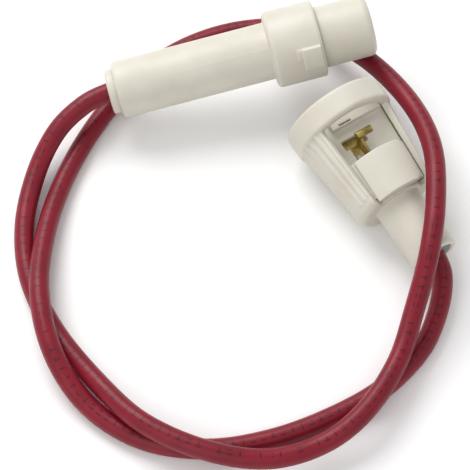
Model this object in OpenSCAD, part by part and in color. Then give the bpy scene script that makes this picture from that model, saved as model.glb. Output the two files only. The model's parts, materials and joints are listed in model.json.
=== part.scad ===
// Ignition lead: one silicone lead in two loops between a twist-lock
// electrode holder and a bell-shaped plug, lying on a flat surface.

/* [Lead] */
// Outer diameter of the insulated lead
lead_d = 5; // [4:0.1:6]
// Diameter of the stranded conductor
conductor_d = 1.6; // [1:0.1:2]

/* [Holder] */
// Outer diameter of the grip tube
tube_d = 14.6; // [13:0.1:18]
// Length of the grip tube
tube_len = 40; // [36:0.5:56]
// Wall of the grip tube
tube_wall = 2; // [1.2:0.1:2.4]
// Height of the bayonet collar above the grip tube
collar_step = 2.5; // [2.1:0.1:4]
// Length of the bayonet collar
collar_len = 13; // [12.5:0.1:17]
// Height of the cable bush flange above its sleeve
bush_step = 1; // [0.6:0.1:1.2]
// Thickness of the cable bush flange
bush_flange_t = 2; // [1:0.1:3]

/* [Nose cap] */
// Height of the nose cap above the grip tube
cap_step = 0.5; // [0:0.1:1.5]
// Visible length of the nose cap
cap_len = 13.35; // [11:0.05:18]
// Step from the nose cap down to its sleeve inside the collar
sleeve_step = 1.1; // [0.8:0.1:1.5]
// Turn from locked to released, in degrees
cap_turn = 60; // [40:5:75]
// Rise of the cap over that turn
cap_lift = 2.4; // [1.5:0.1:2.8]
// Bore of the electrode socket
socket_d = 4; // [3:0.1:4.4]
// Depth of the electrode socket
socket_depth = 9; // [6:0.5:10.5]

/* [Suppressor] */
// Diameter of the ceramic suppressor
ceramic_d = 7.4; // [6:0.1:8]
// Length of the compressed contact spring
spring_len = 6; // [4:0.5:8]

/* [Plug] */
// Overall length of the plug
plug_len = 46; // [44:0.5:58]
// Height of the mouth rim above the body
rim_step = 0.9; // [0.5:0.1:3]
// Length of the mouth rim
rim_len = 6.5; // [5:0.1:8]
// Body diameter beside the rim
body_d = 25.2; // [24:0.1:32]
// Narrowing of the body from the rim to the tail
body_taper = 3.8; // [2:0.1:5]
// Distance from the mouth to the end of the body
body_len = 29.5; // [27:0.5:36]
// Outer diameter of the tail
tail_d = 12.2; // [11.4:0.1:15]
// Wall of the body
plug_wall = 1.5; // [1.1:0.1:1.8]
// Width of the side window, in degrees round the body
window_angle = 113; // [90:1:135]
// Distance from the mouth to the front of the carrier block
carrier_at = 17.5; // [16.5:0.5:19]

/* [Hidden] */
$fn = 72;

CREAM = [0.91, 0.89, 0.83];
RED = [0.60, 0.10, 0.17];
BRASS = [0.78, 0.63, 0.30];
STEEL = [0.72, 0.72, 0.74];
COPPER = [0.80, 0.55, 0.42];
CERAMIC = [0.94, 0.93, 0.90];
RUBBER = [0.42, 0.42, 0.43];

// Clearances: a push fit, a running fit and the room round a bayonet lug
push = 0.05;
run = 0.1;
lug_room = 0.3;
eps = 0.01;
past = 1;
lap = 0.5;

// Rounded edges, from a mere break to the tip of the nose
break_edge = 0.1;
small_edge = 0.2;
part_edge = 0.3;
cap_end_edge = 0.4;
collar_front_edge = 0.7;
bush_edge = 0.7;
cap_edge = 0.6;
nose_edge = 1.8;
tube_edge = 1.2;

// Holder stations, measured from the outer face of the bush
collar_d = tube_d + 2 * collar_step;
cap_d = tube_d + 2 * cap_step;
sleeve_d = cap_d - 2 * sleeve_step;
tube_from = bush_flange_t;
collar_from = tube_from + tube_len;
collar_to = collar_from + collar_len;
lead_clear = 0.2;
bush_bore_d = lead_d + 2 * lead_clear;
bush_sleeve_wall = 2;
bush_sleeve_d = bush_bore_d + 2 * bush_sleeve_wall;
bush_d = bush_sleeve_d + 2 * bush_step;
bush_sleeve_len = 6;
seal_len = 2;
pocket_to = tube_from + bush_sleeve_len + seal_len;
web_t = 2.5;
chamber_from = pocket_to + web_t;
chamber_d = tube_d - 2 * tube_wall;
stop_gap = 0.5;
lead_stop = pocket_to - stop_gap;
ferrule_wall = 1.3;
ferrule_d = conductor_d + 2 * ferrule_wall;
conductor_in = 0.3;
seat_len = 1.6;
contact_flange_t = 0.8;
spring_from = chamber_from + contact_flange_t;
spring_to = spring_from + spring_len;
spring_wire = 0.8;
spring_over = 0.2;
spring_d = ceramic_d + 2 * spring_over;
spring_turns = 4;
seat_clear = 0.3;
seat_d = spring_d - 2 * spring_wire - 2 * seat_clear;
end_cap_t = 0.6;
end_cap_len = 3.2;
end_cap_d = ceramic_d + 2 * end_cap_t;

// Nose cap stations
cap_gap = 0.15;
cap_from = collar_to + cap_gap;
cap_to = cap_from + cap_len;
sleeve_len = 9.15;
sleeve_from = cap_from - sleeve_len;
sleeve_clear = 0.8;
sleeve_bore_d = end_cap_d + 2 * sleeve_clear;
head_t = 1;
head_inset = 4;
head_from = sleeve_from + head_inset;
head_d = end_cap_d;
bridge_from = head_from + head_t;
bridge_len = 9;
bridge_to = bridge_from + bridge_len;
contact_wall = 1;
contact_d = socket_d + 2 * contact_wall;
contact_proud = 2;
contact_to = bridge_to + contact_proud;
recess_room = 1.7;
recess_d = contact_d + 2 * recess_room;
ring_t = 0.6;
ring_groove = 0.35;
ring_step = 0.9;
ring_from_angle = 20;
ring_angle = 320;
lug_inset = 1.5;
lug_from = sleeve_from + lug_inset;
lug_len = 2;
lug_root = 0.6;
lug_h = 1.2;
lug_at = 48;
lug_angle = 24;
track_steps = 4;
// Each step of a track is cut a little deeper than the one before it
track_deepen = 0.04;
// Extra room on each side of the entry slot, in degrees
slot_play = 0.6;
o_ring_r = 0.4;
o_groove_back = 2.6;
o_groove_from = cap_from - o_groove_back;
o_groove_len = 1.4;
o_groove_depth = 0.8;
element_to = head_from - push;
element_from = spring_to;

// Raised boss on the collar, over one end of the bayonet track
boss_h = 0.8;
boss_len = 5;
boss_from_angle = 43;
boss_angle = 34;
boss_root = 1;
boss_inset = 0.5;

// Plug stations, measured from the mouth
rim_d = body_d + 2 * rim_step;
body_end_d = body_d - body_taper;
rim_edge = 0.9;
rim_back_edge = 0.8;
tail_edge = 0.6;
mouth_flare = 1.2;
bore_draft = 0.2;
mouth_bore_d = body_d - 2 * plug_wall + 2 * bore_draft;
body_bore_end_d = body_end_d - 2 * plug_wall;
shoulder_t = 1.5;
body_bore_to = body_len - shoulder_t;
body_edge = 1.8;
body_edge_from = 4;
tail_wall = 1.9;
tail_bore_d = tail_d - 2 * tail_wall;
seal_seat = 0.4;
seal_pocket_d = tail_bore_d + 2 * seal_seat;
tail_seal_len = 3;
tail_seal_from = plug_len - tail_seal_len;
lead_entry = 12;
plug_lead_stop = plug_len - lead_entry;
root_step = 1.1;
window_root_d = tail_d + 2 * root_step;
carrier_gap = 0.12;
window_left_angle = 45;
window_gap = 0.1;
panel_recess = 0.8;
panel_left = 6.35;
panel_right = 7.1;
panel_step = 0.3;
panel_end = 0.3;
panel_corner = 0.6;
panel_round = 2.2;
panel_sweep = 3.5;
deck_from = 1;
deck_t = 1.6;
deck_start = 2.5;
deck_lap = 0.2;
ledge_h = 1.6;
ledge_from = 2.7;
ledge_len = 3.8;
ledge_left = 4.5;
slit_w = 0.45;
slit_up = 0.4;
slit_left = 2.5;
slit_len = 3.7;
slit_lip = 0.35;
slot_from = 9.5;
slot_len = 2.7;
slot_left = 4;
slot_right = 2.5;
// The narrow part of the slot runs on beside the web of the contact
run_len = 7;
run_left = 2.9;
run_right = 1.2;
barrel_wall = 1.5;
barrel_d = conductor_d + 2 * barrel_wall;
barrel_inset = 6.5;
barrel_from = carrier_at + barrel_inset;
barrel_end_t = 2;
tongue_t = 0.8;
tongue_w = 4;
tongue_side = 1;
tongue_top = deck_from - 1.5 * run;
tongue_lead = 0.5;
tongue_from = slot_from - tongue_lead;
foot_t = 0.5;
rivet_r = 0.8;
rivet_head = 0.5;
rivet_inset = 5.4;
rivet_at = slot_from + rivet_inset;
rivet_side = 1.5;
curl_r = 0.95;
curl_h = 5.8;
curl_inset = 1.5;
curl_at = slot_from + curl_inset;
curl_left = 0.9;
curl_len = 4.4;
web_left = 0.1;
web_h = 2.2;

// Where the two fittings lie: the plug rests on its rim and on the end of its body
holder_at = [-42.5, 13.3, 11.6];
holder_pitch = 7;
holder_azimuth = 12.9;
rim_rest = rim_len - rim_back_edge;
plug_pitch = atan((rim_d - body_end_d) / 2 / (body_len - body_edge - rim_rest));
plug_at = [13.7, 6.4, rim_rest * sin(plug_pitch) + rim_d / 2 * cos(plug_pitch)];
plug_azimuth = -57.4;

// A station along the axis of each fitting, as a point of the model
function on_holder(s) = holder_at + s * [cos(holder_pitch) * cos(holder_azimuth),
                                         cos(holder_pitch) * sin(holder_azimuth), sin(holder_pitch)];
function on_plug(s) = plug_at + s * [cos(plug_pitch) * cos(plug_azimuth),
                                     cos(plug_pitch) * sin(plug_azimuth), -sin(plug_pitch)];

// The lead lies in two loops and crosses over itself in long low humps
loose_route = [
    [-49, 10, 10.7], [-55.5, 4, 8.2], [-60.5, -6, 4.8], [-63, -20.5, 3], [-61, -35.5, 2.6],
    [-54, -50, 2.8], [-43, -64.5, 4.4], [-32, -76, 7.4], [-17.5, -83, 7.9], [-3, -84.5, 6.2],
    [10, -80.5, 5.8], [20, -73, 7.8], [28, -60.5, 8.4], [32.5, -47.5, 11.4], [36, -35.5, 16.8],
    [38, -22, 18.8], [38, -7, 17.8], [34, 7.5, 14.4], [25.5, 22, 10.4], [15.5, 32, 7],
    [3, 38.5, 3.6], [-11.5, 38, 2.7], [-25.5, 32, 2.6], [-38.5, 20.5, 2.8], [-47.5, 7, 2.6],
    [-54, -8, 2.8], [-57.5, -24, 4.8], [-58, -41.5, 7.6], [-54, -57.5, 6.8], [-45.5, -69.5, 3],
    [-32.5, -78, 2.6], [-17, -80.5, 2.6], [-2, -78, 2.6], [12, -72.5, 2.6], [24.5, -65, 2.6],
    [34, -55, 2.8], [38.5, -45.5, 4], [40, -37.5, 6.4]];
route = concat([on_holder(lead_stop), on_holder(lead_stop / 2), on_holder(-lap)], loose_route,
               [on_plug(plug_len + lap), on_plug((plug_len + plug_lead_stop) / 2), on_plug(plug_lead_stop)]);
lead_sides = 10;
lead_steps = 2;

// Smooth curve through a list of stations; u counts stations from the first
function curve(list, u) =
    let (last = len(list) - 1, i = min(floor(u), last - 1), t = u - i,
         a = list[max(i - 1, 0)], b = list[i], c = list[i + 1], d = list[min(i + 2, last)])
    0.5 * (2 * b + (c - a) * t + (2 * a - 5 * b + 4 * c - d) * t * t
           + (3 * b - 3 * c + d - a) * t * t * t);
function unit(v) = v / norm(v);

// Arc points, and the outline of a rod with rounded ends, for turning round an axis
function arc(x, y, r, from, to, steps = 6) =
    [for (i = [0:steps]) let (a = from + (to - from) * i / steps) [x + r * cos(a), y + r * sin(a)]];
function rod_outline(r, from, to, edge_from, edge_to) = concat(
    [[0, from]], arc(r - edge_from, from + edge_from, edge_from, -90, 0),
    arc(r - edge_to, to - edge_to, edge_to, 0, 90), [[0, to]]);

module in_holder()
    translate(holder_at) rotate([0, 90 - holder_pitch, holder_azimuth]) rotate([0, 0, 180]) children();

module in_plug()
    translate(plug_at) rotate([0, 90 + plug_pitch, plug_azimuth]) rotate([0, 0, 180]) children();

module rod(r, from, to, edge_from, edge_to)
    rotate_extrude() polygon(rod_outline(r, from, to, edge_from, edge_to));

module bore(d, from, to)
    translate([0, 0, from]) cylinder(d = d, h = to - from);

module cone(d_from, d_to, from, to)
    translate([0, 0, from]) cylinder(d1 = d_from, d2 = d_to, h = to - from);

// Part of a ring, from one angle to the next
module sector(r_in, r_out, from, to, angle_from, angle)
    rotate([0, 0, angle_from]) translate([0, 0, from])
        rotate_extrude(angle = angle) translate([r_in, 0]) square([r_out - r_in, to - from]);

// Tube swept along points, with its rings kept upright
module swept(points, r, sides) {
    n = len(points);
    rings = [for (k = [0:n - 1])
        let (ahead = unit(points[min(k + 1, n - 1)] - points[max(k - 1, 0)]),
             side = unit(cross([0, 0, 1], ahead)), over = cross(ahead, side))
        for (j = [0:sides - 1]) points[k] + r * (cos(360 * j / sides) * side + sin(360 * j / sides) * over)];
    walls = [for (k = [0:n - 2]) for (j = [0:sides - 1])
        let (next = (j + 1) % sides) [k * sides + j, (k + 1) * sides + j, (k + 1) * sides + next, k * sides + next]];
    polyhedron(points = rings, faces = concat([[for (j = [0:sides - 1]) j]], walls,
        [[for (j = [sides - 1:-1:0]) (n - 1) * sides + j]]));
}

module lead_wire()
    color(RED) swept([for (k = [0:(len(route) - 1) * lead_steps]) curve(route, k / lead_steps)], lead_d / 2, lead_sides);

// The path a lug follows: entry slot, then a helical run down to the locked end
module bayonet_track(angle) {
    reach = sleeve_d / 2 + lug_h + lug_room;
    inner = sleeve_d / 2 - lap;
    room_angle = lug_room / reach * 180 / PI;
    for (i = [0:track_steps - 1])
        sector(inner - track_deepen * i, reach + track_deepen * i, lug_from + cap_lift * i / track_steps - lug_room,
               lug_from + cap_lift * (i + 1) / track_steps + lug_len + lug_room,
               angle + cap_turn * i / track_steps - room_angle,
               cap_turn / track_steps + lug_angle + 2 * room_angle);
    sector(inner - track_deepen * track_steps, reach + track_deepen * track_steps, lug_from + cap_lift - lug_room, collar_to + past,
           angle + cap_turn - room_angle - slot_play, lug_angle + 2 * room_angle + 2 * slot_play);
}

module holder_body()
    color(CREAM) in_holder() difference() {
        union() {
            rod(tube_d / 2, tube_from, collar_from + past, tube_edge, small_edge);
            rod(collar_d / 2, collar_from, collar_to, tube_edge, collar_front_edge);
            sector(collar_d / 2 - boss_root, collar_d / 2 + boss_h, collar_to - boss_len - boss_inset, collar_to - boss_inset,
                   boss_from_angle, boss_angle);
        }
        bore(bush_sleeve_d + 2 * push, tube_from - past, pocket_to);
        bore(ferrule_d + 2 * push, pocket_to - past, chamber_from + past);
        bore(chamber_d, chamber_from, sleeve_from);
        bore(sleeve_d + 2 * run, sleeve_from - past, collar_to + past);
        for (angle = [lug_at, lug_at + 180]) bayonet_track(angle);
    }

module cable_bush()
    color(CREAM) in_holder() difference() {
        union() {
            rod(bush_d / 2, 0, bush_flange_t, bush_edge, break_edge);
            rod(bush_sleeve_d / 2, bush_flange_t - lap, bush_flange_t + bush_sleeve_len, break_edge, part_edge);
        }
        bore(bush_bore_d, -past, pocket_to);
    }

module bush_seal()
    color(RUBBER) in_holder() difference() {
        rod(bush_sleeve_d / 2, pocket_to - seal_len, pocket_to, part_edge, part_edge);
        bore(bush_bore_d, pocket_to - seal_len - past, pocket_to + past);
    }

module rear_contact()
    color(BRASS) in_holder() difference() {
        union() {
            rod(ferrule_d / 2, lead_stop, chamber_from + small_edge, break_edge, break_edge);
            rod(chamber_d / 2 - push, chamber_from, spring_from, break_edge, break_edge);
            rod(seat_d / 2, spring_from - small_edge, spring_from + seat_len, break_edge, part_edge);
        }
        bore(conductor_d + 2 * run, lead_stop - past, chamber_from + conductor_in + run);
    }

module conductor_holder_end()
    color(COPPER) in_holder() bore(conductor_d, lead_stop, chamber_from + conductor_in);

// Coil spring with its first and last turns ground flat against what they press on
module contact_spring() {
    coil_r = (spring_d - spring_wire) / 2;
    rise = spring_len - spring_wire;
    steps = spring_turns * 14;
    color(STEEL) in_holder()
        swept_coil([for (k = [0:steps]) let (a = 360 * spring_turns * k / steps)
            [coil_r * cos(a), coil_r * sin(a), spring_from + spring_wire / 2 + rise * k / steps]],
            spring_wire / 2, 6);
}

// Tube along a coil round the z axis
module swept_coil(points, r, sides) {
    n = len(points);
    rings = [for (p = points) let (outward = unit([p.x, p.y, 0]))
        for (j = [0:sides - 1]) p + r * (cos(360 * j / sides) * outward + sin(360 * j / sides) * [0, 0, 1])];
    walls = [for (k = [0:n - 2]) for (j = [0:sides - 1])
        let (next = (j + 1) % sides) [k * sides + j, k * sides + next, (k + 1) * sides + next, (k + 1) * sides + j]];
    polyhedron(points = rings, faces = concat([[for (j = [sides - 1:-1:0]) j]], walls,
        [[for (j = [0:sides - 1]) (n - 1) * sides + j]]));
}

module suppressor_rear_cap()
    color(STEEL) in_holder() difference() {
        rod(end_cap_d / 2, element_from, element_from + end_cap_len, cap_end_edge, break_edge);
        bore(ceramic_d + 2 * push, element_from + end_cap_t, element_from + end_cap_len + past);
    }

module suppressor_body()
    color(CERAMIC) in_holder() rod(ceramic_d / 2, element_from + end_cap_t, element_to - end_cap_t, part_edge, part_edge);

module suppressor_front_cap()
    color(STEEL) in_holder() difference() {
        rod(end_cap_d / 2, element_to - end_cap_len, element_to, break_edge, cap_end_edge);
        bore(ceramic_d + 2 * push, element_to - end_cap_len - past, element_to - end_cap_t);
    }

module electrode_contact()
    color(BRASS) in_holder() difference() {
        union() {
            rod(head_d / 2, head_from, bridge_from, small_edge, break_edge);
            rod(contact_d / 2, bridge_from - small_edge, contact_to, break_edge, cap_end_edge);
        }
        bore(socket_d, contact_to - socket_depth, contact_to + past);
        difference() {
            bore(contact_d + past, bridge_to + push, bridge_to + push + ring_t + 2 * push);
            bore(contact_d - 2 * ring_groove, bridge_to - past, contact_to);
        }
    }

module contact_snap_ring()
    color(STEEL) in_holder()
        sector(contact_d / 2 - ring_groove + push, contact_d / 2 + ring_step, bridge_to + 2 * push,
               bridge_to + 2 * push + ring_t, ring_from_angle, ring_angle);

module nose_cap()
    color(CREAM) in_holder() difference() {
        union() {
            rod(cap_d / 2, cap_from, cap_to, cap_edge, nose_edge);
            rod(sleeve_d / 2, sleeve_from, cap_from + past, cap_end_edge, break_edge);
            for (angle = [lug_at, lug_at + 180])
                sector(sleeve_d / 2 - lug_root, sleeve_d / 2 + lug_h, lug_from, lug_from + lug_len, angle, lug_angle);
        }
        bore(sleeve_bore_d, sleeve_from - past, bridge_from);
        bore(contact_d + 2 * push, bridge_from - past, bridge_to + past);
        bore(recess_d, bridge_to, cap_to + past);
        difference() {
            bore(sleeve_d + past, o_groove_from, o_groove_from + o_groove_len);
            bore(sleeve_d - 2 * o_groove_depth, o_groove_from - past, o_groove_from + o_groove_len + past);
        }
    }

module cap_o_ring()
    color(RUBBER) in_holder() translate([0, 0, o_groove_from + o_groove_len / 2])
        rotate_extrude() translate([sleeve_d / 2 - o_groove_depth + o_ring_r, 0]) circle(r = o_ring_r, $fn = 24);

module plug_shell()
    color(CREAM) in_plug() difference() {
        union() {
            rod(rim_d / 2, 0, rim_len, rim_edge, rim_back_edge);
            rotate_extrude() polygon(concat(
                [[0, rim_len - past], [body_d / 2, rim_len - past]],
                arc(body_end_d / 2 - body_edge, body_len - body_edge, body_edge, body_edge_from, 90), [[0, body_len]]));
            rod(tail_d / 2, body_len - past, plug_len, break_edge, tail_edge);
        }
        cone(mouth_bore_d, body_bore_end_d, -eps, body_bore_to);
        cone(mouth_bore_d + 2 * mouth_flare, mouth_bore_d, -mouth_flare - eps, mouth_flare);
        bore(tail_bore_d, body_bore_to - past, plug_len + past);
        bore(seal_pocket_d, tail_seal_from, plug_len + past);
        sector(window_root_d / 2, rim_d, rim_len + window_gap, body_len + past, window_left_angle - window_angle, window_angle);
    }

// Bore diameter of the body, and its outer diameter, at a distance from the mouth
function body_bore_at(s) = mouth_bore_d + (body_bore_end_d - mouth_bore_d) * s / body_bore_to;
function body_outer_at(s) = body_d + (body_end_d - body_d) * (s - rim_len) / (body_len - rim_len);

module carrier_cone(from, to, gap)
    cone(body_bore_at(from) - 2 * gap, body_bore_at(to) - 2 * gap, from, to);

// Outline of the carrier's panel: across the plug, and along it
module panel_outline()
    polygon(concat(
        arc(panel_left - panel_corner, carrier_at + panel_corner, panel_corner, 0, -90),
        arc(panel_round - panel_right, carrier_at + panel_round, panel_round, -90, -180),
        arc(panel_sweep - panel_right, body_len - panel_sweep, panel_sweep, 180, 90),
        arc(panel_left - panel_corner, body_len - panel_corner, panel_corner, 90, 0)));

// The stepped slot in the deck; a gap makes the foot that fills it
module contact_slot(from, t, gap) {
    translate([from, gap - slot_right, slot_from + gap]) cube([t, slot_left + slot_right - 2 * gap, slot_len - 2 * gap]);
    translate([from, gap - run_right, slot_from + slot_len - lap]) cube([t, run_left + run_right - 2 * gap, run_len - slot_len + lap - gap]);
}

module contact_carrier()
    color(CREAM) in_plug() difference() {
        union() {
            carrier_cone(carrier_at, body_bore_to - carrier_gap, carrier_gap);
            intersection() {
                cone(body_outer_at(carrier_at) - 2 * panel_recess, body_outer_at(body_len) - 2 * panel_recess,
                     carrier_at + panel_step, body_len - panel_end);
                translate([window_root_d / 2 + carrier_gap, 0, 0]) rotate([90, 0, 90]) linear_extrude(rim_d) panel_outline();
            }
            intersection() {
                carrier_cone(deck_start, carrier_at + past, 2 * carrier_gap);
                union() {
                    translate([deck_from, -rim_d / 2, deck_start]) cube([deck_t, rim_d, carrier_at]);
                    translate([deck_from + deck_lap, ledge_left - rim_d, ledge_from]) cube([deck_t + ledge_h, rim_d, ledge_len]);
                }
            }
        }
        translate([deck_from + deck_t + slit_up, slit_left - slit_len, ledge_from + ledge_len - slit_lip - slit_w])
            cube([ledge_h, slit_len, slit_w]);
        contact_slot(deck_from - past, deck_t + 2 * past, 0);
        bore(barrel_d + 2 * run, barrel_from - run, body_len);
        translate([tongue_top - tongue_t - run, -tongue_w / 2 - run, carrier_at - past])
            cube([tongue_t + 2 * run, tongue_w + 2 * run, barrel_from - carrier_at + 2 * past]);
    }

module plug_contact()
    color(BRASS) in_plug() difference() {
        union() {
            contact_slot(tongue_top, foot_t, run);
            translate([tongue_top, web_left - foot_t, curl_at]) cube([curl_h - tongue_top, foot_t, curl_r]);
            translate([tongue_top, web_left - foot_t, curl_at + curl_r - lap])
                cube([deck_from + deck_t + web_h - tongue_top, foot_t, slot_from + run_len - run - curl_at - curl_r + lap]);
            translate([curl_h, curl_left, curl_at]) rotate([90, 0, 0]) cylinder(r = curl_r, h = curl_len);
        }
        translate([curl_h, curl_left + past, curl_at]) rotate([90, 0, 0]) cylinder(r = curl_r - foot_t, h = curl_len + 2 * past);
        translate([tongue_top - past, rivet_side, rivet_at]) rotate([0, 90, 0])
            cylinder(r = rivet_r + push, h = foot_t + 2 * past);
    }

module contact_rivet()
    color(STEEL) in_plug() translate([tongue_top - tongue_t, rivet_side, rivet_at]) rotate([0, 90, 0]) {
        cylinder(r = rivet_r, h = tongue_t + foot_t);
        translate([0, 0, -rivet_head]) cylinder(r1 = rivet_r, r2 = rivet_r + rivet_head, h = rivet_head);
    }

module crimp_terminal()
    color(BRASS) in_plug() difference() {
        union() {
            rod(barrel_d / 2, barrel_from, plug_lead_stop, part_edge, part_edge);
            translate([tongue_top - tongue_t, -tongue_w / 2, tongue_from])
                cube([tongue_t, tongue_w, barrel_from - tongue_from + lap]);
            translate([tongue_top - tongue_t, -tongue_w / 2, tongue_from])
                cube([tongue_t, tongue_w + tongue_side, run_len]);
        }
        bore(conductor_d + 2 * run, barrel_from + barrel_end_t, plug_lead_stop + past);
        translate([tongue_top - tongue_t - past, rivet_side, rivet_at]) rotate([0, 90, 0])
            cylinder(r = rivet_r + push, h = tongue_t + 2 * past);
    }

module conductor_plug_end()
    color(COPPER) in_plug() bore(conductor_d, barrel_from + barrel_end_t + run, plug_lead_stop);

module tail_seal()
    color(RUBBER) in_plug() difference() {
        rod(seal_pocket_d / 2 - push, tail_seal_from, plug_len, small_edge, cap_end_edge);
        bore(bush_bore_d, tail_seal_from - past, plug_len + past);
    }

lead_wire();
holder_body();
cable_bush();
bush_seal();
rear_contact();
conductor_holder_end();
contact_spring();
suppressor_rear_cap();
suppressor_body();
suppressor_front_cap();
electrode_contact();
contact_snap_ring();
nose_cap();
cap_o_ring();
plug_shell();
contact_carrier();
plug_contact();
contact_rivet();
crimp_terminal();
conductor_plug_end();
tail_seal();
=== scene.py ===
"""Ignition lead with an inline twist-lock holder and a bell-shaped plug."""

from __future__ import annotations

import json
import logging
import math
from collections.abc import Callable
from dataclasses import dataclass, field
from enum import Enum

import bmesh
import bpy
from mathutils import Matrix, Vector

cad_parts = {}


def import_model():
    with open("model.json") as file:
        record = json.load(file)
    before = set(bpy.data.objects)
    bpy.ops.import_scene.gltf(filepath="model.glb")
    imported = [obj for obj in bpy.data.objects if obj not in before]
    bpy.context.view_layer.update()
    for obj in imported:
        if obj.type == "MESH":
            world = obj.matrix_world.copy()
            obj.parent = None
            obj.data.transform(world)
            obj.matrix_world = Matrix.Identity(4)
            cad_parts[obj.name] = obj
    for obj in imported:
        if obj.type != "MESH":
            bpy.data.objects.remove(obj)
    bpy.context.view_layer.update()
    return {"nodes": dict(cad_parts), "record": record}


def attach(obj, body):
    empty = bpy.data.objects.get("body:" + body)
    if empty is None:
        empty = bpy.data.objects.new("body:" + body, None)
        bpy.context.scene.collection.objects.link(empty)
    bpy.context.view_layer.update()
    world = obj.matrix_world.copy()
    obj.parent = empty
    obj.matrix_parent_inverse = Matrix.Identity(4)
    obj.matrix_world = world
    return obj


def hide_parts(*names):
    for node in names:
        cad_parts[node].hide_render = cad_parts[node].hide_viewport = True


LOG = logging.getLogger("ignition_lead")
MM = 0.001


# --------------------------------------------------------------------------
# Shader maths
# --------------------------------------------------------------------------


class Socket:
    """One output of a shader node, with the operators that materials use."""

    def __init__(self, graph: "Graph", link: bpy.types.NodeSocket) -> None:
        """Wraps a socket of a graph.

        Args:
            graph: the graph that the socket belongs to.
            link: the output socket.
        """
        self.graph = graph
        self.link = link

    def _math(self, kind: str, *others: "Socket | float") -> "Socket":
        """Adds one Math node of a kind, with this socket first."""
        return self.graph.maths(kind, self, *others)

    def __add__(self, other: "Socket | float") -> "Socket":
        """This value plus another."""
        return self._math("ADD", other)

    __radd__ = __add__

    def __sub__(self, other: "Socket | float") -> "Socket":
        """This value minus another."""
        return self._math("SUBTRACT", other)

    def __rsub__(self, other: float) -> "Socket":
        """A number minus this value."""
        return self.graph.maths("SUBTRACT", other, self)

    def __mul__(self, other: "Socket | float") -> "Socket":
        """This value times another."""
        return self._math("MULTIPLY", other)

    __rmul__ = __mul__

    def __truediv__(self, other: "Socket | float") -> "Socket":
        """This value divided by another."""
        return self._math("DIVIDE", other)

    def __gt__(self, other: "Socket | float") -> "Socket":
        """1 where this value is greater, else 0."""
        return self._math("GREATER_THAN", other)

    def __lt__(self, other: "Socket | float") -> "Socket":
        """1 where this value is less, else 0."""
        return self._math("LESS_THAN", other)

    def floor(self) -> "Socket":
        """The whole part of this value."""
        return self._math("FLOOR")

    def fraction(self) -> "Socket":
        """The part of this value after the point."""
        return self._math("FRACT")

    def absolute(self) -> "Socket":
        """This value without its sign."""
        return self._math("ABSOLUTE")


class Graph:
    """The node tree of one material."""

    def __init__(self, name: str) -> None:
        """Starts an empty material with an output and a Principled shader.

        Args:
            name: the material's name.
        """
        self.material = bpy.data.materials.new(name)
        self.material.use_nodes = True
        self.tree = self.material.node_tree
        self.tree.nodes.clear()
        self.output = self.tree.nodes.new("ShaderNodeOutputMaterial")
        self.shader = self.tree.nodes.new("ShaderNodeBsdfPrincipled")
        self.tree.links.new(self.shader.outputs[0], self.output.inputs[0])

    def node(
        self,
        kind: str,
        settings: dict[str, object] | None = None,
        sockets: dict[str | int, object] | None = None,
        out: str | int = 0,
    ) -> Socket:
        """Adds a node, makes its settings and then fills its sockets.

        Args:
            kind: the node's type.
            settings: the node's own properties, set first.
            sockets: a value or a Socket for each named or numbered input.
            out: the output to return.

        Returns:
            The chosen output.
        """
        made = self.tree.nodes.new(kind)
        for key, value in (settings or {}).items():
            if key == "stops":
                self._stops(made, value)
            else:
                setattr(made, key, value)
        for key, value in (sockets or {}).items():
            if isinstance(value, Socket):
                self.tree.links.new(value.link, made.inputs[key])
            else:
                made.inputs[key].default_value = value
        return Socket(self, made.outputs[out])

    @staticmethod
    def _stops(ramp: bpy.types.Node, stops: list[tuple[float, float]]) -> None:
        """Sets the grey stops of a colour ramp."""
        elements = ramp.color_ramp.elements
        while len(elements) < len(stops):
            elements.new(0.5)
        for element, (place, grey) in zip(elements, stops):
            element.position = place
            element.color = (grey, grey, grey, 1.0)

    def maths(self, kind: str, *values: "Socket | float") -> Socket:
        """Adds a Math node.

        Args:
            kind: the node's operation.
            values: its inputs in order.

        Returns:
            The result.
        """
        return self.node("ShaderNodeMath", {"operation": kind}, dict(enumerate(values)))

    def place(self) -> Socket:
        """Object coordinates."""
        return self.node("ShaderNodeTexCoord", out="Object")

    def noise(self, scale: float, detail: float = 2.0, at: Socket | None = None) -> Socket:
        """Noise from 0 to 1.

        Args:
            scale: cells to the metre.
            detail: octaves.
            at: coordinates; the object's own if left out.

        Returns:
            The noise's value.
        """
        return self.node(
            "ShaderNodeTexNoise", {}, {"Vector": at or self.place(), "Scale": scale, "Detail": detail}
        )

    def ramp(self, value: Socket, stops: list[tuple[float, float]]) -> Socket:
        """Maps a value through grey stops.

        Args:
            value: what is mapped.
            stops: pairs of place and grey.

        Returns:
            The mapped value.
        """
        return self.node("ShaderNodeValToRGB", {"stops": stops}, {"Fac": value})

    def mix(self, factor: Socket | float, low: object, high: object) -> Socket:
        """Mixes two colours.

        Args:
            factor: 0 gives low and 1 gives high.
            low: a colour or a Socket.
            high: a colour or a Socket.

        Returns:
            The mixed colour.
        """
        return self.node(
            "ShaderNodeMix", {"data_type": "RGBA"}, {0: factor, 6: low, 7: high}, out=2
        )

    def feed(self, **sockets: object) -> None:
        """Fills the Principled shader's sockets, with underscores for spaces."""
        for key, value in sockets.items():
            target = self.shader.inputs[key.replace("_", " ")]
            if isinstance(value, Socket):
                self.tree.links.new(value.link, target)
            else:
                target.default_value = value

    def bump(self, height: Socket, depth: float) -> None:
        """Feeds a height, in units of depth metres, to the shader's normal."""
        self.feed(
            Normal=self.node(
                "ShaderNodeBump", {}, {"Strength": 1.0, "Distance": depth, "Height": height}
            )
        )


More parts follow.
